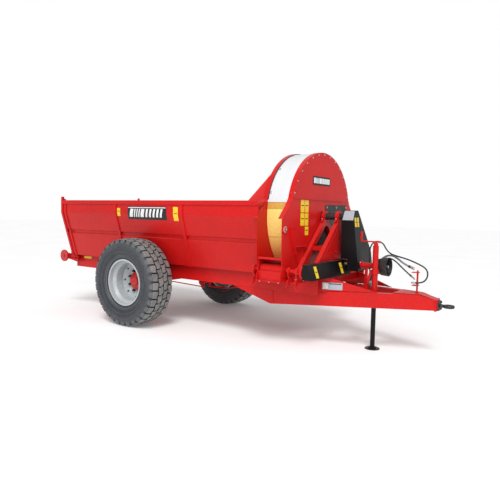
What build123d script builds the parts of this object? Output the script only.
from build123d import *
import math
import os

os.makedirs("parts", exist_ok=True)

# ---------------------------------------------------------------------------
# Side-discharge spreader trailer.  Millimetres.  +X is forward (towards the
# tow eye), -Y is the machine's right-hand side, +Z is up, z = 0 is the ground.
# The origin is at the bottom centre of the whole machine; the functions xz,
# yz and xy below place profiles by their distance from the axle (AX).
# ---------------------------------------------------------------------------
AX = -905.0            # axle position along X

# wheels
TYRE_R = 565.0         # outer radius of the tyre
TYRE_W = 385.0         # section width
TRACK = 1020.0         # centre plane of each wheel from the centre line
RIM_W = 300.0          # over the rim flanges
STUD_R = 137.5         # stud circle radius
STUDS = 8
SPINDLE_R = 45.0

# hopper
REAR_X, FRONT_X = -1700.0, 1872.0
RAIL_Y, RAIL_TOP = 910.0, 1620.0
RAIL_W, RAIL_H = 50.0, 55.0
WALL_Y, BEND_Z = 897.0, 1440.0
FOOT_Y, FOOT_Z = 710.0, 790.0
SHEET = 4.0
FLOOR_Z = 821.0        # top of the floor sheet

# chassis
BEAM_Y, BEAM_B, BEAM_T, BEAM_FL = 640.0, 612.0, 790.0, 70.0
BEAM_X0, BEAM_X1 = -1690.0, 2487.0

# rotor drum
DRUM_Z = 1460.0
RIM_R = 752.0
REAR_PLATE_X, FRONT_PLATE_X = 1880.0, 2200.0
COVER_R = 744.0
HATCH_R = 737.0
ROTOR_R = 712.0
SHAFT_R = 40.0

# drives
PTO_Y, PTO_Z = 0.0, 912.0
STUB_R = 17.46         # 34.9 mm splined input shaft
SIDE_Y, SIDE_Z = -820.0, 868.0
CHAIN1_X = 2600.0      # upper chain plane, rotor to input shaft
CHAIN2_X = 2475.0      # lower chain plane, input shaft to side shaft

# floor conveyor
CONV_Z = 770.0
CONV_R = 52.0          # inner radius of the chain loop
CONV_T = 18.0
CONV_X0, CONV_X1 = -1850.0, 1760.0

# drawbar
ARM_X0, ARM_X1 = 1900.0, 3565.0
ARM_Y0, ARM_Y1 = 640.0, 70.0

# jack
JACK_X, JACK_Y = 2933.0, -144.0


def yz(x):
    return Plane(origin=(AX + x, 0, 0), x_dir=(0, 1, 0), z_dir=(1, 0, 0))


def xz(y):
    return Plane(origin=(AX, y, 0), x_dir=(1, 0, 0), z_dir=(0, -1, 0))


def xy(z):
    return Plane(origin=(AX, 0, z))


def block(x0, x1, y0, y1, z0, z1, mode=Mode.ADD):
    with Locations((AX + (x0 + x1) / 2, (y0 + y1) / 2, (z0 + z1) / 2)):
        Box(x1 - x0, y1 - y0, z1 - z0, mode=mode)


def rod_x(x0, x1, y, z, r, mode=Mode.ADD):
    with Locations(Location((AX + (x0 + x1) / 2, y, z), (0, 90, 0))):
        Cylinder(r, x1 - x0, mode=mode)


def rod_y(x, y0, y1, z, r, mode=Mode.ADD):
    with Locations(Location((AX + x, (y0 + y1) / 2, z), (90, 0, 0))):
        Cylinder(r, abs(y1 - y0), mode=mode)


def rod_z(x, y, z0, z1, r, mode=Mode.ADD):
    with Locations((AX + x, y, (z0 + z1) / 2)):
        Cylinder(r, z1 - z0, mode=mode)


def bar(p, q, r, mode=Mode.ADD):
    a, b = Vector(AX + p[0], p[1], p[2]), Vector(AX + q[0], q[1], q[2])
    with BuildSketch(Plane(origin=a, z_dir=b - a), mode=Mode.PRIVATE) as s:
        Circle(r)
    extrude(s.sketch, amount=(b - a).length, dir=(b - a).normalized(), mode=mode)


def panel(plane, pts, depth, mode=Mode.ADD):
    with BuildSketch(plane, mode=Mode.PRIVATE) as outline:
        Polygon(*pts, align=None)
    extrude(outline.sketch, amount=depth, mode=mode)


def mirrored(pts):
    return [(-p[0], p[1]) for p in pts]


def folded(pts, t):
    """Closed outline of a folded sheet: pts on one face, thickness t to the left."""
    n = []
    for i in range(len(pts) - 1):
        dx, dy = pts[i + 1][0] - pts[i][0], pts[i + 1][1] - pts[i][1]
        d = math.hypot(dx, dy)
        n.append((-dy / d, dx / d))
    back = []
    for i, p in enumerate(pts):
        if i == 0:
            m = n[0]
            k = 1.0
        elif i == len(pts) - 1:
            m = n[-1]
            k = 1.0
        else:
            m = (n[i - 1][0] + n[i][0], n[i - 1][1] + n[i][1])
            h = math.hypot(*m)
            m = (m[0] / h, m[1] / h)
            k = 1.0 / (m[0] * n[i][0] + m[1] * n[i][1])
        back.append((p[0] + m[0] * t * k, p[1] + m[1] * t * k))
    return list(pts) + back[::-1]


def wall_y(z):
    """Outer face of the slanted wall at height z."""
    return WALL_Y if z >= BEND_Z else FOOT_Y + (WALL_Y - FOOT_Y) * (z - FOOT_Z) / (BEND_Z - FOOT_Z)


def polar(r, deg):
    return (r * math.cos(math.radians(deg)), DRUM_Z + r * math.sin(math.radians(deg)))


def arc_sheet(r0, r1, a0, a1, x0, x1, mode=Mode.ADD):
    """Part-cylinder shell about the rotor axis between the radii r0 and r1."""
    with BuildSketch(yz(x0), mode=Mode.PRIVATE) as shell:
        with BuildLine():
            ThreePointArc(polar(r0, a0), polar(r0, (a0 + a1) / 2), polar(r0, a1))
            Line(polar(r0, a1), polar(r1, a1))
            ThreePointArc(polar(r1, a1), polar(r1, (a0 + a1) / 2), polar(r1, a0))
            Line(polar(r1, a0), polar(r0, a0))
        make_face()
    extrude(shell.sketch, amount=x1 - x0, mode=mode)


# ---------------------------------------------------------------------------
# Chassis
# ---------------------------------------------------------------------------
chan = [(BEAM_Y, BEAM_B), (BEAM_Y, BEAM_T), (BEAM_Y - BEAM_FL, BEAM_T), (BEAM_Y - BEAM_FL, BEAM_T - 8),
        (BEAM_Y - 8, BEAM_T - 8), (BEAM_Y - 8, BEAM_B + 8), (BEAM_Y - BEAM_FL, BEAM_B + 8), (BEAM_Y - BEAM_FL, BEAM_B)]
with BuildPart() as chassis_beams:
    panel(yz(BEAM_X0), chan, BEAM_X1 - BEAM_X0)
    panel(yz(BEAM_X0), mirrored(chan), BEAM_X1 - BEAM_X0)
chassis_beams.part.label = "chassis_beams"
export_step(chassis_beams.part, "parts/chassis_beams.step")

with BuildPart() as cross_members:
    for x in (-1560, -780, 0, 780, 1500):
        block(x - 35, x + 35, -569.5, 569.5, 612, 662)
    block(2440, 2486, -420, 420, 700, 778)
    for s in (-1, 1):
        # bearers that carry the floor on the beams
        block(BEAM_X0, 1870, s * 605 - 28, s * 605 + 28, 790.2, 814.8)
        # hangers for the front conveyor shaft
        block(1715, 1805, s * 557 - 9, s * 557 + 9, 700, 814.8)
        rod_y(CONV_X1, s * 545, s * 569, CONV_Z, 20.05, mode=Mode.SUBTRACT)
cross_members.part.label = "cross_members"
export_step(cross_members.part, "parts/cross_members.step")

with BuildPart() as axle:
    block(-45, 45, -835, 835, 520, 610)
    fillet(axle.edges().filter_by(Axis.Y), 8)
    for s in (-1, 1):
        rod_y(0, s * 835, s * 985, TYRE_R, SPINDLE_R)
axle.part.label = "axle"
export_step(axle.part, "parts/axle.step")

with BuildPart() as brake_linkage:
    for s in (-1, 1):
        # clamp plates and bolts under the axle
        block(-85, 85, s * 605 - 40, s * 605 + 40, 504, 519.8)
        for bx in (-66, 66):
            for by in (-25, 25):
                rod_z(bx, s * 605 + by, 486, 611.8, 9)
        # spacer pads between axle and beam
        block(-44, 44, s * 605 - 30, s * 605 + 30, 610.1, 611.9)
        # pull rods to the drum levers, each between two clevis faces
        bar((684, s * 428.9, 500.6), (88, s * 760, 597.1), 7)
        block(60, 84, s * 780 - 8, s * 780 + 8, 560, 640)
        # lever on the cross shaft
        block(688, 712, s * 420 - 6, s * 420 + 6, 490, 547.5)
        # bearing lug of the cross shaft
        block(690, 710, s * 480 - 8, s * 480 + 8, 572.5, 611.8)
    rod_y(700, -505, 505, 560, 12)
    # pull rod running forward to the drawbar, with its spring cage
    block(688, 712, -306, -294, 490, 547.5)
    bar((713, -300, 500), (741, -300, 500), 6)
    block(742, 752, -336, -264, 494, 506)
    bar((753, -300, 500), (997, -300, 500), 6)
    bar((753, -330, 500), (997, -330, 500), 5)
    bar((753, -270, 500), (997, -270, 500), 5)
    block(998, 1008, -336, -264, 494, 506)
    bar((1010, -300, 500.8), (1438, -300, 580.9), 6)
    block(1440, 1470, -312, -288, 575, 611.8)
brake_linkage.part.label = "brake_linkage"
export_step(brake_linkage.part, "parts/brake_linkage.step")

# ---------------------------------------------------------------------------
# Hopper
# ---------------------------------------------------------------------------
# outer face of the wall, from the foot up, with the pressed recess
wall_line = [(FOOT_Y + 2, FOOT_Z + 7), (wall_y(1133), 1133), (wall_y(1133) - 17, 1141),
             (wall_y(1190) - 20, 1184), (wall_y(1190), 1192), (WALL_Y, BEND_Z), (WALL_Y, RAIL_TOP - RAIL_H - 0.2)]
right_line = [(-p[0], p[1]) for p in wall_line][::-1]
with BuildPart() as side_wall_right:
    panel(yz(REAR_X), folded(right_line, SHEET), FRONT_X - REAR_X)
    block(REAR_X, FRONT_X, -760, -712.3, 797, 799, mode=Mode.SUBTRACT)
side_wall_right.part.label = "side_wall_right"
export_step(side_wall_right.part, "parts/side_wall_right.step")

with BuildPart() as side_wall_left:
    panel(yz(REAR_X), folded(wall_line, SHEET), FRONT_X - REAR_X)
side_wall_left.part.label = "side_wall_left"
export_step(side_wall_left.part, "parts/side_wall_left.step")


def rib(x0, x1, out, z0=FOOT_Z, top=RAIL_TOP - RAIL_H - 0.2):
    """Pressed rib outside the wall, both sides, standing out by out."""
    pts = [(wall_y(z0) + 0.4, z0), (WALL_Y + 0.4, BEND_Z), (WALL_Y + 0.4, top),
           (WALL_Y + out, top), (WALL_Y + out, BEND_Z - 4), (wall_y(z0) + out, z0)]
    panel(yz(x0), pts, x1 - x0)
    panel(yz(x0), mirrored(pts), x1 - x0)


with BuildPart() as wall_ribs:
    rib(-505, -463, 15)
    rib(712, 754, 15)
    rib(-1700, -1662, 13)
    rib(-1612, -1586, 13)
    for s in (-1, 1):
        # posts standing above the rail at the rear corners
        block(-1700, -1662, s * 893 - 15, s * 893 + 15, RAIL_TOP + 0.2, 1672)
        rod_y(-1640, s * 885 - 12, s * 885 + 12, RAIL_TOP + 10.3, 10)
        # small hook on the rail
        rod_y(-40, s * 885 - 10, s * 885 + 10, RAIL_TOP + 12.3, 12)
wall_ribs.part.label = "wall_ribs"
export_step(wall_ribs.part, "parts/wall_ribs.step")

with BuildPart() as top_rails:
    for s in (-1, 1):
        block(REAR_X, FRONT_X, s * (RAIL_Y - RAIL_W / 2) - RAIL_W / 2, s * (RAIL_Y - RAIL_W / 2) + RAIL_W / 2,
              RAIL_TOP - RAIL_H, RAIL_TOP)
    fillet(top_rails.edges().filter_by(Axis.X), 5)
    # rear header that carries the tailgate
    block(REAR_X, REAR_X + 50, -859.8, 859.8, RAIL_TOP - RAIL_H, RAIL_TOP)
    # hinge lugs
    for y in (-640, 0, 640):
        for d in (-32, 32):
            block(-1737, REAR_X + 2, y + d - 6, y + d + 6, 1574, 1610)
            rod_y(-1719, y + d - 8, y + d + 8, 1592, 10.05, mode=Mode.SUBTRACT)
top_rails.part.label = "top_rails"
export_step(top_rails.part, "parts/top_rails.step")

with BuildPart() as hopper_floor:
    block(REAR_X, 1700, -711, 711, FLOOR_Z - 6, FLOOR_Z)
    for s in (-1, 1):
        block(1699, FRONT_X, s * 676 - 35, s * 676 + 35, FLOOR_Z - 6, FLOOR_Z)
    # transfer lip in front of the chain
    block(1852, FRONT_X, -711, 711, FLOOR_Z - 6, FLOOR_Z)
    # fixed lower board under the tailgate
    block(-1706, -1702, -736, 736, 872, 902)
    for s in (-1, 1):
        block(-1706, -1702, s * 722 - 12, s * 722 + 12, 797, 872)
hopper_floor.part.label = "hopper_floor"
export_step(hopper_floor.part, "parts/hopper_floor.step")

# ---------------------------------------------------------------------------
# Tailgate, hung from the rear header
# ---------------------------------------------------------------------------
gate_pts = [(-(wall_y(906) + 6), 906), (-903, BEND_Z - 8), (-903, 1558), (903, 1558), (903, BEND_Z - 8), (wall_y(906) + 6, 906)]
with BuildPart() as tailgate:
    panel(yz(-1708), gate_pts, 4)
    for z in (960, 1210, 1460):
        hw = wall_y(z) - 45
        block(-1733, -1707.5, -hw, hw, z - 20, z + 20)
    for y in (-640, 0, 640):
        block(-1729, -1707.5, y - 22, y + 22, 1400, 1556)
        block(-1729, -1709, y - 22, y + 22, 1540, 1592)
        rod_y(-1719, y - 22, y + 22, 1592, 16)
        rod_y(-1719, y - 44, y + 44, 1592, 10)
    # pull handle
    rod_y(-1762, -70, 70, 1085, 8)
    for y in (-70, 70):
        rod_x(-1762, -1707.5, y, 1085, 8)
tailgate.part.label = "tailgate"
export_step(tailgate.part, "parts/tailgate.step")

# ---------------------------------------------------------------------------
# Floor conveyor
# ---------------------------------------------------------------------------
with BuildPart() as conveyor_chain:
    for s in (-1, 1):
        with BuildSketch(xz(s * 350 + 11)):
            with Locations(((CONV_X0 + CONV_X1) / 2, CONV_Z)):
                SlotCenterToCenter(CONV_X1 - CONV_X0, 2 * (CONV_R + CONV_T))
                SlotCenterToCenter(CONV_X1 - CONV_X0, 2 * CONV_R, mode=Mode.SUBTRACT)
        extrude(amount=22)
        # link joints where each straight run meets the bend
        for x in (CONV_X0 + 2, CONV_X1 - 2):
            block(x - 0.2, x + 0.2, s * 350 - 20, s * 350 + 20, CONV_Z - CONV_R - CONV_T - 5, CONV_Z + CONV_R + CONV_T + 5, mode=Mode.SUBTRACT)
    for i in range(9):
        x = -1640 + i * 400
        block(x - 22, x + 22, -620, 620, CONV_Z + CONV_R + CONV_T + 0.2, CONV_Z + CONV_R + CONV_T + 14)
    for i in range(9):
        x = -1640 + i * 400 + 120
        if x < 1740:
            block(x - 22, x + 22, -560, 560, CONV_Z - CONV_R - CONV_T - 14, CONV_Z - CONV_R - CONV_T - 0.2)
conveyor_chain.part.label = "conveyor_chain"
export_step(conveyor_chain.part, "parts/conveyor_chain.step")


def sprocket(teeth, tip, root, bore, x, y, z, width, along="x"):
    """Toothed disc with its axis along X or Y."""
    if along == "x":
        pl = Plane(origin=(AX + x - width / 2, y, z), x_dir=(0, 1, 0), z_dir=(1, 0, 0))
    else:
        pl = Plane(origin=(AX + x, y + width / 2, z), x_dir=(1, 0, 0), z_dir=(0, -1, 0))
    pts = []
    for i in range(teeth):
        a = 2 * math.pi * i / teeth
        w = math.pi / teeth
        for d, r in ((-0.62 * w, root), (-0.26 * w, tip), (0.26 * w, tip), (0.62 * w, root)):
            pts.append((r * math.cos(a + d), r * math.sin(a + d)))
    with BuildSketch(pl, mode=Mode.PRIVATE) as toothed:
        Polygon(*pts, align=None)
        if bore:
            Circle(bore, mode=Mode.SUBTRACT)
    extrude(toothed.sketch, amount=width)


with BuildPart() as conveyor_front_shaft:
    rod_y(CONV_X1, -565, 565, CONV_Z, 20)
    for s in (-1, 1):
        sprocket(9, 51, 42, 0, CONV_X1, s * 350, CONV_Z, 16, along="y")
        rod_y(CONV_X1, s * 325, s * 375, CONV_Z, 32)
conveyor_front_shaft.part.label = "conveyor_front_shaft"
export_step(conveyor_front_shaft.part, "parts/conveyor_front_shaft.step")

with BuildPart() as conveyor_rear_roller:
    rod_y(CONV_X0, -718, 718, CONV_Z, 20)
    for s in (-1, 1):
        rod_y(CONV_X0, s * 325, s * 375, CONV_Z, 51)
    rod_y(CONV_X0, -325, 325, CONV_Z, 34)
conveyor_rear_roller.part.label = "conveyor_rear_roller"
export_step(conveyor_rear_roller.part, "parts/conveyor_rear_roller.step")

with BuildPart() as roller_caps:
    for s in (-1, 1):
        with BuildSketch(Plane(origin=(AX + CONV_X0, s * 738, CONV_Z), x_dir=(1, 0, 0), z_dir=(0, s, 0))):
            Circle(90)
        extrude(amount=30)
        with BuildSketch(Plane(origin=(AX + CONV_X0, s * 718.2, CONV_Z), x_dir=(1, 0, 0), z_dir=(0, s, 0))):
            Circle(34)
        extrude(amount=25)
    fillet(roller_caps.edges().filter_by(GeomType.CIRCLE).filter_by(lambda e: abs(e.radius - 90) < 0.1), 8)
    for s in (-1, 1):
        rod_y(CONV_X0, s * 766, s * 778, CONV_Z, 22)
roller_caps.part.label = "roller_caps"
export_step(roller_caps.part, "parts/roller_caps.step")

with BuildPart() as tensioners:
    for s in (-1, 1):
        # sliding plate that carries the rear roller
        panel(xz(s * 690 + 6), [(-1900, 732), (-1640, 690), (-1590, 690), (-1590, 788), (-1880, 812), (-1900, 800)], 12)
        rod_y(CONV_X0, s * 680, s * 700, CONV_Z, 20.05, mode=Mode.SUBTRACT)
        # bracket on the beam end
        block(-1660, -1600, s * 672 - 11.5, s * 672 + 11.5, 700, 780)
        # adjusting screws with nuts
        for z in (722, 768):
            rod_x(-1738, -1560, s * 712, z, 9)
            rod_x(-1690, -1672, s * 712, z, 15)
        block(-1668, -1650, s * 708 - 11.5, s * 708 + 11.5, 705, 786)
tensioners.part.label = "tensioners"
export_step(tensioners.part, "parts/tensioners.step")

# ---------------------------------------------------------------------------
# Rotor drum
# ---------------------------------------------------------------------------
A0 = math.degrees(math.asin((1652 - DRUM_Z) / RIM_R))
SHOULDER = (784.0, 1576.0)
HIP = (931.0, 1420.0)


def drum_outline():
    """Arch, flared shoulders, upright sides and a round belly between the beams."""
    a, b = polar(RIM_R, A0), polar(RIM_R, 180 - A0)
    with BuildLine(mode=Mode.PRIVATE) as border:
        ThreePointArc(a, polar(RIM_R, 90), b)
        Polyline(b, (-SHOULDER[0], SHOULDER[1]), (-HIP[0], HIP[1]), (-925, 1000), (-892, 800), (-645, 790.2),
                 (-568, 790.2), (-400, 700), (400, 700), (568, 790.2), (645, 790.2), (892, 800), (925, 1000),
                 HIP, SHOULDER, a)
    make_face(border.edges())


def edge_flange(x0, x1):
    """Sheet flange round the arch and the shoulders."""
    with BuildSketch(yz(x0), mode=Mode.PRIVATE) as band:
        drum_outline()
        offset(amount=-5, mode=Mode.SUBTRACT)
        with Locations((0, 400)):
            Rectangle(2400, 2052, mode=Mode.SUBTRACT)
    extrude(band.sketch, amount=x1 - x0)


with BuildPart() as drum_rear_plate:
    with BuildSketch(yz(REAR_PLATE_X - 5)):
        drum_outline()
        # mouth through which the load reaches the rotor
        with BuildSketch(mode=Mode.SUBTRACT):
            with Locations((0, DRUM_Z)):
                Circle(700)
            with Locations((0, 1230)):
                Rectangle(1400, 720, mode=Mode.INTERSECT)
    extrude(amount=5)
    edge_flange(REAR_PLATE_X - 55, REAR_PLATE_X - 4)
    for s in (-1, 1):
        # clearance for the side wall and the rail
        block(1800, 1874, s * 895 - 6, s * 895 + 6, 1380, 1566, mode=Mode.SUBTRACT)
    rod_x(1870, 1885, SIDE_Y, SIDE_Z, 26, mode=Mode.SUBTRACT)
drum_rear_plate.part.label = "drum_rear_plate"
export_step(drum_rear_plate.part, "parts/drum_rear_plate.step")

with BuildPart() as drum_front_plate:
    with BuildSketch(yz(FRONT_PLATE_X - 6)):
        drum_outline()
        with Locations((0, DRUM_Z)):
            Circle(58, mode=Mode.SUBTRACT)
    extrude(amount=6)
    edge_flange(FRONT_PLATE_X - 56, FRONT_PLATE_X - 5)
    # joint lip across the plate
    block(2199, 2212, -726, 726, 1648, 1655)
    # stiffening ribs on the right-hand half
    panel(yz(2199), folded([(-766, 1339), (-738, 1198), (-664, 1030), (-568, 879)], 6), 8.5)
    panel(yz(2199), folded([(-766, 1339), (-738, 1198), (-664, 1030)], 6), 36)
    panel(yz(2199), folded([(-442, 1075), (-568, 879)], -6), 8.5)
    block(2199, 2232, -712, -412, 1118, 1124)
    panel(yz(2199), folded([(766, 1339), (738, 1198), (664, 1030)], -6), 36)
    # hole for the side shaft
    rod_x(2190, 2205, SIDE_Y, SIDE_Z, 26, mode=Mode.SUBTRACT)
    # round boss with its bolt
    rod_x(2199, 2214, -885, 1314, 42)
    rod_x(2213, 2226, -885, 1314, 17)
drum_front_plate.part.label = "drum_front_plate"
export_step(drum_front_plate.part, "parts/drum_front_plate.step")

hood_gussets_pts = [(1704, 856, 1621.0), (1824, 732, 1621.0), (1824, 560, 1948.0)]
with BuildPart() as hood_gussets:
    for s in (-1, 1):
        p = [Vector(AX + q[0], s * q[1], q[2]) for q in hood_gussets_pts]
        nrm = (p[1] - p[0]).cross(p[2] - p[0]).normalized()
        pl = Plane(origin=p[0], x_dir=(p[1] - p[0]).normalized(), z_dir=nrm)
        flat = [pl.to_local_coords(v) for v in p]
        with BuildSketch(pl):
            Polygon(*[(v.X, v.Y) for v in flat], align=None)
        extrude(amount=4)
hood_gussets.part.label = "hood_gussets"
export_step(hood_gussets.part, "parts/hood_gussets.step")

with BuildPart() as drum_cover:
    arc_sheet(COVER_R - 3, COVER_R, -20, 168.5, REAR_PLATE_X + 0.5, FRONT_PLATE_X - 6.5)
drum_cover.part.label = "drum_cover"
export_step(drum_cover.part, "parts/drum_cover.step")

with BuildPart() as drum_trough:
    arc_sheet(COVER_R - 3, COVER_R, 222, 339.5, REAR_PLATE_X + 0.5, FRONT_PLATE_X - 6.5)
    # arc rails that guide the hatch on its way up inside the cover
    for x0 in (REAR_PLATE_X + 0.5, FRONT_PLATE_X - 20.5):
        arc_sheet(722, 731, 105, 222, x0, x0 + 14)
        with BuildSketch(yz(x0)):
            Polygon(polar(723, 221), polar(723, 224), polar(743, 224), polar(743, 221), align=None)
        extrude(amount=14)
drum_trough.part.label = "drum_trough"
export_step(drum_trough.part, "parts/drum_trough.step")

with BuildPart() as discharge_hatch:
    arc_sheet(HATCH_R - 3, HATCH_R, 164, 220.5, REAR_PLATE_X + 3, FRONT_PLATE_X - 9)
    # raised seam and turned lower edge
    arc_sheet(HATCH_R - 1, HATCH_R + 2.5, 197.4, 198.6, REAR_PLATE_X + 3, FRONT_PLATE_X - 9)
    arc_sheet(HATCH_R - 1, HATCH_R + 2.5, 219.3, 220.5, REAR_PLATE_X + 3, FRONT_PLATE_X - 9)
discharge_hatch.part.label = "discharge_hatch"
export_step(discharge_hatch.part, "parts/discharge_hatch.step")

# rotor: paddles on a disc, on a hub keyed to the shaft
with BuildPart() as rotor_shaft:
    rod_x(1905, 2445, 0, DRUM_Z, SHAFT_R)
    rod_x(2440, 2618, 0, DRUM_Z, 25)
    sprocket(11, 50, 41, 0, CHAIN1_X, 0, DRUM_Z, 14)
    rod_x(2575, 2618, 0, DRUM_Z, 34)
rotor_shaft.part.label = "rotor_shaft"
export_step(rotor_shaft.part, "parts/rotor_shaft.step")

with BuildPart() as rotor_body:
    rod_x(1898, 2168, 0, DRUM_Z, 120)
    rod_x(2158, 2168, 0, DRUM_Z, 520)
    for i in range(6):
        a = 15 + 60 * i
        c, s_ = math.cos(math.radians(a)), math.sin(math.radians(a))
        pl = Plane(origin=(AX + 1900, 0, DRUM_Z), x_dir=(0, c, s_), z_dir=(1, 0, 0))
        with BuildSketch(pl):
            Polygon((100, -6), (ROTOR_R - 70, -6), (ROTOR_R - 6, 34), (ROTOR_R - 12, 44), (ROTOR_R - 76, 6), (100, 6), align=None)
        extrude(amount=262)
    rod_x(1890, 2180, 0, DRUM_Z, SHAFT_R + 0.1, mode=Mode.SUBTRACT)
rotor_body.part.label = "rotor_body"
export_step(rotor_body.part, "parts/rotor_body.step")

# ---------------------------------------------------------------------------
# Bearing frames, guards and drives in front of the drum
# ---------------------------------------------------------------------------


def strut(x0, x1, p, q, w):
    dy, dz = q[0] - p[0], q[1] - p[1]
    d = math.hypot(dy, dz)
    ny, nz = -dz / d * w / 2, dy / d * w / 2
    panel(yz(x0), [(p[0] + ny, p[1] + nz), (q[0] + ny, q[1] + nz), (q[0] - ny, q[1] - nz), (p[0] - ny, p[1] - nz)], x1 - x0)


with BuildPart() as bearing_frame_rear:
    for s in (-1, 1):
        strut(2208, 2256, (s * 30, 1385), (s * 632, 815), 62)
        block(2208, 2256, s * 605 - 34, s * 605 + 34, 790.4, 850)
    block(2208, 2256, -70, 70, 1345, 1396)
    block(2200, 2262, -300, 300, 1396, 1500, mode=Mode.SUBTRACT)
    for s in (-1, 1):
        strut(2208, 2256, (s * 330, 1095), (s * 330, 1100), 60)
    block(2208, 2256, -340, 340, 1072, 1116)
bearing_frame_rear.part.label = "bearing_frame_rear"
export_step(bearing_frame_rear.part, "parts/bearing_frame_rear.step")

with BuildPart() as bearing_frame_front:
    for s in (-1, 1):
        strut(2385, 2435, (s * 25, 1385), (s * 622, 826), 62)
        block(2385, 2435, s * 605 - 34, s * 605 + 34, 790.4, 856)
        # spacers back to the rear frame
        block(2256.5, 2385.5, s * 322 - 24, s * 322 + 24, 1072, 1116)
    block(2385, 2435, -70, 70, 1345, 1396)
    block(2380, 2440, -300, 300, 1396, 1500, mode=Mode.SUBTRACT)
    panel(yz(2428), [(-40, 1350), (-440, 975), (440, 975), (40, 1350)], 7)
    # lower ledger that carries the input shaft bearing
    block(2385, 2435, -470, 470, 960, 1000)
    for s in (-1, 1):
        block(2385, 2435, s * 42 - 10, s * 42 + 10, 860, 961)
    block(2385, 2435, -52, 52, 852, 872)
    rod_x(2380, 2440, PTO_Y, PTO_Z, 22.05, mode=Mode.SUBTRACT)
    for y, z in ((-250, 1040), (-110, 1050), (70, 1085)):
        rod_x(2434, 2448, y, z, 11)
bearing_frame_front.part.label = "bearing_frame_front"
export_step(bearing_frame_front.part, "parts/bearing_frame_front.step")

with BuildPart() as bearing_blocks:
    for x0, x1 in ((2212, 2252), (2388, 2432)):
        rod_x(x0, x1, 0, DRUM_Z, 60)
        block(x0, x1, -66, 66, 1396.3, 1430)
        block(x0 + 8, x1 - 8, -96, 96, 1396.3, 1412)
        rod_x(x0 - 5, x1 + 5, 0, DRUM_Z, SHAFT_R + 0.05, mode=Mode.SUBTRACT)
        for y in (-82, 82):
            rod_z((x0 + x1) / 2, y, 1411, 1428, 11)
    # bearing of the input shaft
    rod_x(2388, 2432, PTO_Y, PTO_Z, 31.8)
    rod_x(2380, 2440, PTO_Y, PTO_Z, 22.05, mode=Mode.SUBTRACT)
bearing_blocks.part.label = "bearing_blocks"
export_step(bearing_blocks.part, "parts/bearing_blocks.step")

with BuildPart() as black_panel:
    with BuildSketch(yz(2200.4)):
        Polygon((-150, 1112), (668, 1092), (652, 1606), (62, 1596), (70, 1360), (-52, 1236), align=None)
        with Locations((0, DRUM_Z)):
            Circle(75, mode=Mode.SUBTRACT)
    extrude(amount=6)
black_panel.part.label = "black_panel"
export_step(black_panel.part, "parts/black_panel.step")

# tall guard over the rotor chain: deeper towards the foot, notched over the cross guard
tall = [(-33, 1534), (53, 1535), (270, 1176), (344, 1044), (350, 842), (-76, 842), (-96, 1416)]


def tall_solid(inset, x0, top_x, foot_x):
    """Prism behind a leaning front face; inset shrinks the outline."""
    with BuildPart(mode=Mode.PRIVATE) as body:
        with BuildSketch(yz(x0)):
            Polygon(*tall, align=None)
            if inset:
                offset(amount=-inset, kind=Kind.INTERSECTION, mode=Mode.REPLACE)
        extrude(amount=300)
        with BuildSketch(xz(900)):
            Polygon((top_x, 1620), (top_x, 1540), (foot_x, 830), (foot_x, 700), (3100, 700), (3100, 1620), align=None)
        extrude(amount=1800, mode=Mode.SUBTRACT)
    return body.part


guard_outer = tall_solid(0, 2492, 2628, 2712)
guard_inner = tall_solid(3, 2488, 2625, 2709)
with BuildPart() as chain_guard:
    add(guard_outer)
    add(guard_inner, mode=Mode.SUBTRACT)
    block(2480, 2569, -200, 500, 800, 973, mode=Mode.SUBTRACT)
    rod_x(2600, 2800, PTO_Y, PTO_Z, 34, mode=Mode.SUBTRACT)
chain_guard.part.label = "chain_guard"
export_step(chain_guard.part, "parts/chain_guard.step")

# cross guard: an inverted trough over the lower chain, its front leaning out
with BuildPart() as cross_guard:
    panel(xz(66), folded([(2442, 794), (2442, 956), (2500, 956), (2556, 794)], -3.5), 971)
    with BuildSketch(xz(66)):
        Polygon((2442, 794), (2442, 956), (2500, 956), (2556, 794), align=None)
    extrude(amount=3)
    with BuildSketch(xz(-902)):
        Polygon((2442, 794), (2442, 956), (2500, 956), (2556, 794), align=None)
    extrude(amount=3)
    rod_x(2430, 2456, PTO_Y, PTO_Z, 30, mode=Mode.SUBTRACT)
    rod_x(2430, 2456, SIDE_Y, SIDE_Z, 30, mode=Mode.SUBTRACT)
    # slot in front for the input shaft
    rod_x(2480, 2570, PTO_Y, PTO_Z, 30, mode=Mode.SUBTRACT)
cross_guard.part.label = "cross_guard"
export_step(cross_guard.part, "parts/cross_guard.step")

with BuildPart() as pto_shaft:
    rod_x(2388, 2960, PTO_Y, PTO_Z, 22)
    # six-groove stub that the driveline slides on
    rod_x(2958, 3030, PTO_Y, PTO_Z, STUB_R)
    for k in range(6):
        g = math.radians(60 * k)
        gy, gz = PTO_Y + (STUB_R + 1) * math.cos(g), PTO_Z + (STUB_R + 1) * math.sin(g)
        with Locations(Location((AX + 2998, gy, gz), (60 * k, 0, 0))):
            Box(76, 6, 3.4, mode=Mode.SUBTRACT)
    sprocket(11, 50, 41, 0, CHAIN1_X, PTO_Y, PTO_Z, 14)
    sprocket(9, 32, 27, 0, CHAIN2_X, PTO_Y, PTO_Z, 14)
    rod_x(CHAIN2_X + 6, CHAIN2_X + 14, PTO_Y, PTO_Z, 25)
pto_shaft.part.label = "pto_shaft"
export_step(pto_shaft.part, "parts/pto_shaft.step")


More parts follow.
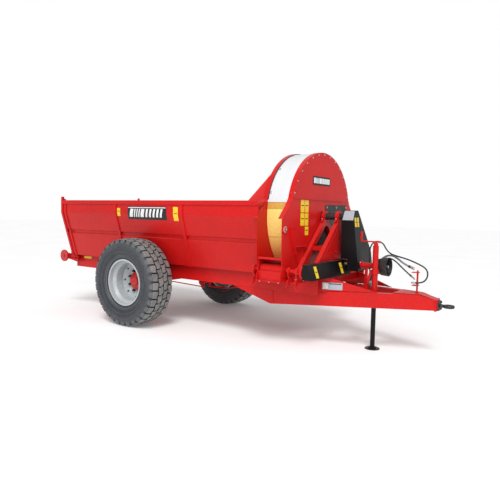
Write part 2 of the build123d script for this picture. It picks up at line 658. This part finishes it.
def chain_loop(x, c1, r1, c2, r2, t, w):
    """Closed chain run round two wheels, drawn as one band."""
    def hull_pts(grow):
        ra, rb = r1 + grow, r2 + grow
        dy, dz = c2[0] - c1[0], c2[1] - c1[1]
        d = math.hypot(dy, dz)
        base = math.atan2(dz, dy)
        off = math.acos((ra - rb) / d)
        pts = []
        n = 18
        for k in range(n + 1):
            ang = base + off + (2 * math.pi - 2 * off) * k / n
            pts.append((c1[0] + ra * math.cos(ang), c1[1] + ra * math.sin(ang)))
        for k in range(n + 1):
            ang = base - off + 2 * off * k / n
            pts.append((c2[0] + rb * math.cos(ang), c2[1] + rb * math.sin(ang)))
        return pts
    with BuildSketch(yz(x - w / 2), mode=Mode.PRIVATE) as run:
        Polygon(*hull_pts(t), align=None)
        Polygon(*hull_pts(0), align=None, mode=Mode.SUBTRACT)
    extrude(run.sketch, amount=w)


with BuildPart() as drive_chains:
    chain_loop(CHAIN1_X, (0, DRUM_Z), 51.5, (PTO_Y, PTO_Z), 51.5, 6, 16)
    chain_loop(CHAIN2_X, (PTO_Y, PTO_Z), 33.5, (SIDE_Y, SIDE_Z), 45.5, 5, 16)
drive_chains.part.label = "drive_chains"
export_step(drive_chains.part, "parts/drive_chains.step")

with BuildPart() as pto_tube:
    rod_x(2713, 2878, PTO_Y, PTO_Z, 31)
    rod_x(2712.5, 2724, PTO_Y, PTO_Z, 46)
    rod_x(2700, 2900, PTO_Y, PTO_Z, 22.05, mode=Mode.SUBTRACT)
    # foot that stands on the drawbar deck
    block(2760, 2790, -50, 50, 650, 700)
    block(2760, 2790, -14, 14, 698, 884)
    rod_x(2740, 2800, PTO_Y, PTO_Z, 22.05, mode=Mode.SUBTRACT)
    # deck plate between the arms
    block(2745, 2805, -262, 262, 642, 652)
pto_tube.part.label = "pto_tube"
export_step(pto_tube.part, "parts/pto_tube.step")

with BuildPart() as pto_cone:
    with BuildSketch(Plane(origin=(AX, PTO_Y, PTO_Z), x_dir=(1, 0, 0), z_dir=(0, -1, 0))):
        Polygon((2880, 26), (2880, 62), (2902, 84), (2940, 88), (2958, 98), (3040, 106), (3040, 101), (2961, 93),
                (2943, 83), (2905, 79), (2885, 59), (2885, 26), align=None)
    revolve(axis=Axis((AX, PTO_Y, PTO_Z), (1, 0, 0)))
pto_cone.part.label = "pto_cone"
export_step(pto_cone.part, "parts/pto_cone.step")

# ---------------------------------------------------------------------------
# Outlet roller and side shaft
# ---------------------------------------------------------------------------
with BuildPart() as roller_box:
    for x0 in (1884, 2186):
        panel(yz(x0), [(-936, 746), (-936, 800), (-905, 880), (-905, 1003), (-700, 985), (-700, 800), (-742, 746)], 7)
    # outlet lip and top shelf
    panel(yz(1884), folded([(-560, 948), (-700, 984), (-905, 1003), (-905, 984)], -5), 309)
    # lower face and its foot flange
    block(1884, 2193, -897, -891, 752, 858)
    block(1884, 2193, -936, -860, 746, 752)
    block(1884, 2193, -748, -742, 746, 988)
    for x0 in (1880, 2180):
        rod_x(x0, x0 + 20, SIDE_Y, SIDE_Z, 24, mode=Mode.SUBTRACT)
    # feet to the chassis beam
    for x0 in (1930, 2130):
        block(x0, x0 + 20, -745, -640.3, 760, 790)
roller_box.part.label = "roller_box"
export_step(roller_box.part, "parts/roller_box.step")

with BuildPart() as side_shaft:
    rod_x(1740, 2500, SIDE_Y, SIDE_Z, 20)
    sprocket(13, 44, 38, 0, CHAIN2_X, SIDE_Y, SIDE_Z, 14)
side_shaft.part.label = "side_shaft"
export_step(side_shaft.part, "parts/side_shaft.step")

with BuildPart() as discharge_roller:
    rod_x(1896, 2181, SIDE_Y, SIDE_Z, 62)
    fillet(discharge_roller.edges().filter_by(GeomType.CIRCLE), 4)
    rod_x(1890, 2190, SIDE_Y, SIDE_Z, 20.1, mode=Mode.SUBTRACT)
discharge_roller.part.label = "discharge_roller"
export_step(discharge_roller.part, "parts/discharge_roller.step")

with BuildPart() as drive_disc:
    rod_x(2392, 2422, SIDE_Y, SIDE_Z, 74)
    fillet(drive_disc.edges().filter_by(GeomType.CIRCLE), 5)
    rod_x(2372, 2393, SIDE_Y, SIDE_Z, 34)
    rod_x(2360, 2430, SIDE_Y, SIDE_Z, 20.1, mode=Mode.SUBTRACT)
drive_disc.part.label = "drive_disc"
export_step(drive_disc.part, "parts/drive_disc.step")

with BuildPart() as shaft_bearings:
    for x0 in (1770, 2222, 2322):
        rod_x(x0, x0 + 32, SIDE_Y, SIDE_Z, 38)
        panel(yz(x0 + 10), [(-856, 872), (-850, 812), (-790, 742), (-640.4, 742), (-640.4, 786), (-760, 790), (-784, 872)], 12)
        rod_x(x0 - 5, x0 + 40, SIDE_Y, SIDE_Z, 20.05, mode=Mode.SUBTRACT)
        # hooked lug under the bearing
        panel(yz(x0 + 11), [(-880, 700), (-860, 690), (-800, 735), (-790, 760), (-846, 778), (-872, 752), (-850, 730)], 10)
shaft_bearings.part.label = "shaft_bearings"
export_step(shaft_bearings.part, "parts/shaft_bearings.step")

# ---------------------------------------------------------------------------
# Drawbar
# ---------------------------------------------------------------------------
SLOPE = (ARM_Y0 - ARM_Y1) / (ARM_X1 - ARM_X0)
ARM_L = math.hypot(ARM_X1 - ARM_X0, ARM_Y0 - ARM_Y1)
K = ARM_L / (ARM_X1 - ARM_X0)      # length along the arm per mm of X
arm_pts = [(1900, 451), (1900, 610.5), (2470, 610.5), (2512, 630), (3019, 645), (3405, 650), (3565, 606), (3565, 496)]
gus_pts = [(2310, 612), (2310, 786), (2545, 778), (3000, 652), (2514, 637), (2470, 612)]


def arm_plane(s, inward=0.0):
    """Upright plane along the outer face of an arm, s = -1 right, +1 left."""
    dx, dy = ARM_X1 - ARM_X0, -s * (ARM_Y0 - ARM_Y1)
    n = Vector(dy, -dx, 0).normalized()
    out = n if s < 0 else n * -1
    o = Vector(AX + ARM_X0, s * ARM_Y0, 0) - out * inward
    return Plane(origin=o, x_dir=(dx, dy, 0), z_dir=n)


def along(pts):
    return [((p[0] - ARM_X0) * K, p[1]) for p in pts]


with BuildPart() as drawbar_arms:
    for s in (-1, 1):
        d = -1 if s < 0 else 1
        # converging length: web with a flange all round its edge
        with BuildSketch(arm_plane(s)):
            Polygon(*along(arm_pts), align=None)
            offset(amount=-8, kind=Kind.INTERSECTION, mode=Mode.SUBTRACT)
        extrude(amount=d * 70)
        with BuildSketch(arm_plane(s)):
            Polygon(*along(arm_pts), align=None)
        extrude(amount=d * 8)
        # tapered heel under the chassis beam
        yo = s * ARM_Y0
        with BuildSketch(xz(max(yo, yo - s * 70))):
            Polygon((1352, 610.5), (1925, 610.5), (1925, 451.8), (1880, 451), align=None)
            offset(amount=-8, kind=Kind.INTERSECTION, mode=Mode.SUBTRACT)
        extrude(amount=70)
        with BuildSketch(xz(max(yo, yo - s * 8))):
            Polygon((1352, 610.5), (1910, 610.5), (1910, 451.5), (1880, 451), align=None)
        extrude(amount=8)
    # keep the tips apart on the centre line
    block(3300, 3620, -0.5, 0.5, 400, 700, mode=Mode.SUBTRACT)
drawbar_arms.part.label = "drawbar_arms"
export_step(drawbar_arms.part, "parts/drawbar_arms.step")

with BuildPart() as drawbar_gussets:
    for s in (-1, 1):
        d = -1 if s < 0 else 1
        with BuildSketch(arm_plane(s, inward=8)):
            Polygon(*along(gus_pts), align=None)
        extrude(amount=d * 8)
drawbar_gussets.part.label = "drawbar_gussets"
export_step(drawbar_gussets.part, "parts/drawbar_gussets.step")

with BuildPart() as drawbar_nose:
    block(3565.5, 3581, -78, 78, 488, 616)
    # deck plates between the arms, level and then sloping to the nose
    panel(xy(651), [(3150, -170), (3400, -100), (3400, 100), (3150, 170)], 6)
    panel(xz(72), [(3401, 651.5), (3401, 657.5), (3581, 608), (3581, 602)], 144)
    # lugs for the tow eye
    block(3580, 3592, -60, 60, 494, 600)
drawbar_nose.part.label = "drawbar_nose"
export_step(drawbar_nose.part, "parts/drawbar_nose.step")

EYE_R, EYE_TUBE, EYE_X = 40.0, 17.0, 3693.0
with BuildPart() as tow_eye:
    with BuildSketch(Plane(origin=(AX + EYE_X, 0, 545), x_dir=(1, 0, 0), z_dir=(0, 0, 1))):
        Circle(57)
        Circle(25, mode=Mode.SUBTRACT)
    extrude(amount=16, both=True)
    fillet(tow_eye.edges().filter_by(GeomType.CIRCLE).filter_by(lambda e: abs(e.radius - 57) < 0.1), 10)
    with BuildSketch(yz(3592.5)):
        with Locations((0, 545)):
            RectangleRounded(118, 100, 10)
    extrude(amount=10)
    for y in (-44, 44):
        for z in (511, 579):
            rod_x(3602, 3611, y, z, 12)
    with BuildSketch(yz(3600)):
        with Locations((0, 545)):
            Circle(25)
    with BuildSketch(yz(3646)):
        with Locations((0, 545)):
            RectangleRounded(46, 27, 6)
    loft()
tow_eye.part.label = "tow_eye"
export_step(tow_eye.part, "parts/tow_eye.step")

# ---------------------------------------------------------------------------
# Jack
# ---------------------------------------------------------------------------
with BuildPart() as jack_tube:
    rod_z(JACK_X, JACK_Y, 470, 1150, 32)
    rod_z(JACK_X, JACK_Y, 460, 1128, 26.4, mode=Mode.SUBTRACT)
    rod_z(JACK_X, JACK_Y, 1126, 1152, 10.05, mode=Mode.SUBTRACT)
jack_tube.part.label = "jack_tube"
export_step(jack_tube.part, "parts/jack_tube.step")

with BuildPart() as jack_brackets:
    # two clamp plates to the right-hand arm
    for z in (500, 590):
        block(2900, 2966, -214, -144, z, z + 14)
    rod_z(JACK_X, JACK_Y, 480, 640, 32.2, mode=Mode.SUBTRACT)
    # slanting stay
    panel(xz(-130), [(2812, 652), (2842, 652), (2896, 880), (2872, 880)], 14)
    block(2808, 2870, -222, -130, 646, 652.2)
    # dark band that also steadies the shaft shield
    rod_z(JACK_X, JACK_Y, 836, 884, 40)
    block(2902, 2964, -118, -100, 840, 880)
    rod_z(JACK_X, JACK_Y, 830, 890, 32.2, mode=Mode.SUBTRACT)
jack_brackets.part.label = "jack_brackets"
export_step(jack_brackets.part, "parts/jack_brackets.step")

with BuildPart() as jack_leg:
    rod_z(JACK_X, JACK_Y, 8, 700, 26)
    rod_z(JACK_X, JACK_Y, 0, 10, 82)
    fillet(jack_leg.edges().filter_by(GeomType.CIRCLE).filter_by(lambda e: abs(e.radius - 82) < 0.1).sort_by(Axis.Z)[-1], 5)
    rod_z(JACK_X, JACK_Y, 9, 24, 44)
jack_leg.part.label = "jack_leg"
export_step(jack_leg.part, "parts/jack_leg.step")

with BuildPart() as jack_crank:
    rod_z(JACK_X, JACK_Y, 1104, 1204, 10)
    rod_z(JACK_X, JACK_Y, 1150.5, 1180, 24)
    rod_x(2763, 2985, JACK_Y, 1193, 8)
    rod_z(2763, JACK_Y, 1186, 1300, 8)
    rod_z(2763, JACK_Y, 1206, 1300, 13)
    rod_x(2958, 2985, JACK_Y, 1193, 11)
jack_crank.part.label = "jack_crank"
export_step(jack_crank.part, "parts/jack_crank.step")

# ---------------------------------------------------------------------------
# Hose holder, hoses and their end fittings
# ---------------------------------------------------------------------------
with BuildPart() as hose_holder:
    block(3340, 3372, -16, 16, 657.3, 668)
    rod_z(3356, 0, 667, 900, 10)
    block(3312, 3372, -58, 34, 734, 742)
    block(3300, 3372, -34, 34, 872, 880)
hose_holder.part.label = "hose_holder"
export_step(hose_holder.part, "parts/hose_holder.step")

# block on the deck from which the hoses rise
with BuildPart() as hose_manifold:
    block(2748, 2802, 80, 240, 652.3, 700)
    for y in (105, 150, 195):
        rod_z(2775, y, 699, 722, 13)
hose_manifold.part.label = "hose_manifold"
export_step(hose_manifold.part, "parts/hose_manifold.step")


def hose_path(pts):
    """Corner radii: 0.45 of the shorter run over the tangent of half the turn."""
    v = [Vector(*p) for p in pts]
    radii = []
    for i in range(1, len(v) - 1):
        a, b = v[i] - v[i - 1], v[i + 1] - v[i]
        t = math.radians(a.get_angle(b))
        radii.append(0.45 * min(a.length, b.length) / math.tan(t / 2))
    return v, radii


def hose(pts, r):
    v, radii = hose_path([(AX + p[0], p[1], p[2]) for p in pts])
    with BuildLine(mode=Mode.PRIVATE) as path:
        FilletPolyline(*v, radius=radii)
    with BuildSketch(Plane(origin=v[0], z_dir=v[1] - v[0]), mode=Mode.PRIVATE) as section:
        Circle(r)
    sweep(section.sketch, path=path.wires()[0])
    return sum(e.length for e in path.edges()), min(radii)


H_LONG = [(2775, 105, 722.2), (2775, 105, 795), (2770, 112, 872), (2763, 119, 950), (2758, 126, 1036),
          (2760, 129, 1113), (2793, 130, 1170), (2856, 130, 1189), (2916, 127, 1164), (2954, 121, 1098),
          (3008, 111, 1052), (3090, 92, 1032), (3220, 62, 1008), (3340, 26, 972), (3440, 2, 931),
          (3471, -14, 872), (3458, -28, 809), (3408, -36, 770), (3350, -38, 768)]
H_STR = [(2775, 150, 722.2), (2775, 150, 800), (2796, 154, 882), (2856, 156, 950), (2930, 148, 995),
         (3010, 130, 1000), (3080, 106, 968), (3140, 80, 924), (3200, 54, 882), (3250, 36, 848), (3286, 27, 824)]
H_GREY = [(2775, 195, 722.2), (2775, 195, 800), (2806, 194, 890), (2866, 186, 966), (2940, 172, 1022),
          (3020, 148, 1034), (3092, 116, 1004), (3160, 80, 966), (3222, 48, 940), (3272, 28, 925)]

with BuildPart() as hose_long:
    L1 = hose(H_LONG, 8)
hose_long.part.label = "hose_long"
export_step(hose_long.part, "parts/hose_long.step")
with BuildPart() as hose_straight:
    L2 = hose(H_STR, 8)
hose_straight.part.label = "hose_straight"
export_step(hose_straight.part, "parts/hose_straight.step")
with BuildPart() as hose_grey:
    L3 = hose(H_GREY, 11)
hose_grey.part.label = "hose_grey"
export_step(hose_grey.part, "parts/hose_grey.step")
for nm, (ln_, rm), r, pr in (("hose_long", L1, 8, hose_long), ("hose_straight", L2, 8, hose_straight), ("hose_grey", L3, 11, hose_grey)):
    print(nm, "length", round(ln_, 1), "min radius", round(rm, 1), "volume ratio", round(pr.part.volume / (math.pi * r * r * ln_), 4))


def coupler(path, length, r):
    """Quick coupler on the end of a hose, in line with its last run."""
    a, b = Vector(*path[-2]), Vector(*path[-1])
    d = (b - a).normalized()
    p, q = tuple(b + d * 0.2), tuple(b + d * length)
    bar(p, q, r)
    m1 = tuple(p[i] + (q[i] - p[i]) * 0.35 for i in range(3))
    m2 = tuple(p[i] + (q[i] - p[i]) * 0.70 for i in range(3))
    bar(m1, m2, r + 4)


with BuildPart() as hose_couplers:
    coupler(H_LONG, 60, 9)
    coupler(H_STR, 52, 9)
    coupler(H_GREY, 64, 12)
hose_couplers.part.label = "hose_couplers"
export_step(hose_couplers.part, "parts/hose_couplers.step")

# ---------------------------------------------------------------------------
# Wheels: s = -1 right, +1 left; profiles are (outward distance, radius)
# ---------------------------------------------------------------------------


def wheel_plane(s):
    return Plane(origin=(AX, s * TRACK, TYRE_R), x_dir=(0, s, 0), z_dir=(s, 0, 0))


def spun(s, pts):
    with BuildSketch(wheel_plane(s), mode=Mode.PRIVATE) as profile:
        Polygon(*pts, align=None)
    revolve(profile.sketch, axis=Axis((AX, 0, TYRE_R), (0, 1, 0)))


HALF = TYRE_W / 2
tyre_half = [(118, 290), (143, 286.4), (143, 301), (153, 316), (170, 350), (184, 392), (HALF, 436), (190, 476),
             (180, 512), (166, 536), (158, 550), (112, 559.5), (110, 549), (98, 549.5), (96, 561), (34, 564.4),
             (32, 553), (20, 553), (18, 565)]
tyre_in = [(0, 541), (120, 532), (150, 506), (166, 466), (168, 430), (160, 388), (146, 348), (124, 316)]
tyre_pts = tyre_half + [(-p[0], p[1]) for p in tyre_half[::-1]] + [(-p[0], p[1]) for p in tyre_in[::-1]] + tyre_in[1:]
rim_pts = [(-150, 298.5), (-143.5, 298.5), (-143.5, 285.6), (-100, 282), (-72, 250), (58, 250), (92, 282),
           (143.5, 285.6), (143.5, 298.5), (150, 298.5), (150, 279), (96, 275), (63, 243), (-77, 243), (-104, 275), (-150, 279)]
dish_pts = [(-100, 110.5), (-86, 110.5), (-86, 168), (-72, 182), (-44, 236), (-44, 244.5), (-58, 244.5), (-86, 190), (-100, 176)]
hub_pts = [(-178, SPINDLE_R + 0.05), (-178, 96), (-150, 106), (-118, 106), (-118, 165), (-100.4, 165), (-100.4, 106),
           (-85.6, 106), (-85.6, 118), (-66, 118), (-56, 112), (-46, 84), (-40, 64), (-26, 58), (-20, 46), (-18, 0),
           (-30, 0), (-30, SPINDLE_R + 0.05)]
drum_pts = [(-205, 188), (-205, 204), (-126, 204), (-118.4, 196), (-118.4, 107), (-130, 107), (-130, 188)]

for s, side in ((-1, "right"), (1, "left")):
    with BuildPart() as tyre:
        spun(s, tyre_pts)
    with BuildPart() as rim:
        spun(s, rim_pts)
        spun(s, dish_pts)
        for k in range(STUDS):
            a = math.radians(22.5 + 45 * k)
            rod_y(STUD_R * math.cos(a), s * (TRACK - 104), s * (TRACK - 84), TYRE_R + STUD_R * math.sin(a), 11, mode=Mode.SUBTRACT)
        for k in range(8):
            a = math.radians(45 * k)
            c = Vector(AX + 212 * math.cos(a), s * (TRACK - 80), TYRE_R + 212 * math.sin(a))
            with Locations(Location(c, (90, 0, 0))):
                Cylinder(15, 90, mode=Mode.SUBTRACT)
    with BuildPart() as hub:
        spun(s, hub_pts)
        for k in range(STUDS):
            a = math.radians(22.5 + 45 * k)
            rod_y(STUD_R * math.cos(a), s * (TRACK - 126), s * (TRACK - 90), TYRE_R + STUD_R * math.sin(a), 10.6, mode=Mode.SUBTRACT)
        spun(s, drum_pts)
    with BuildPart() as nuts:
        for k in range(STUDS):
            a = math.radians(22.5 + 45 * k)
            cx, cz = STUD_R * math.cos(a), TYRE_R + STUD_R * math.sin(a)
            rod_y(cx, s * (TRACK - 117.5), s * (TRACK - 44), cz, 10)
            with BuildSketch(Plane(origin=(AX + cx, s * (TRACK - 85.8), cz), x_dir=(1, 0, 0), z_dir=(0, s, 0))):
                RegularPolygon(18, 6)
            extrude(amount=24)
    if side == "right":
        tyre.part.label, rim.part.label, hub.part.label, nuts.part.label = "tyre_right", "rim_right", "hub_right", "wheel_nuts_right"
        export_step(tyre.part, "parts/tyre_right.step")
        export_step(rim.part, "parts/rim_right.step")
        export_step(hub.part, "parts/hub_right.step")
        export_step(nuts.part, "parts/wheel_nuts_right.step")
    else:
        tyre.part.label, rim.part.label, hub.part.label, nuts.part.label = "tyre_left", "rim_left", "hub_left", "wheel_nuts_left"
        export_step(tyre.part, "parts/tyre_left.step")
        export_step(rim.part, "parts/rim_left.step")
        export_step(hub.part, "parts/hub_left.step")
        export_step(nuts.part, "parts/wheel_nuts_left.step")
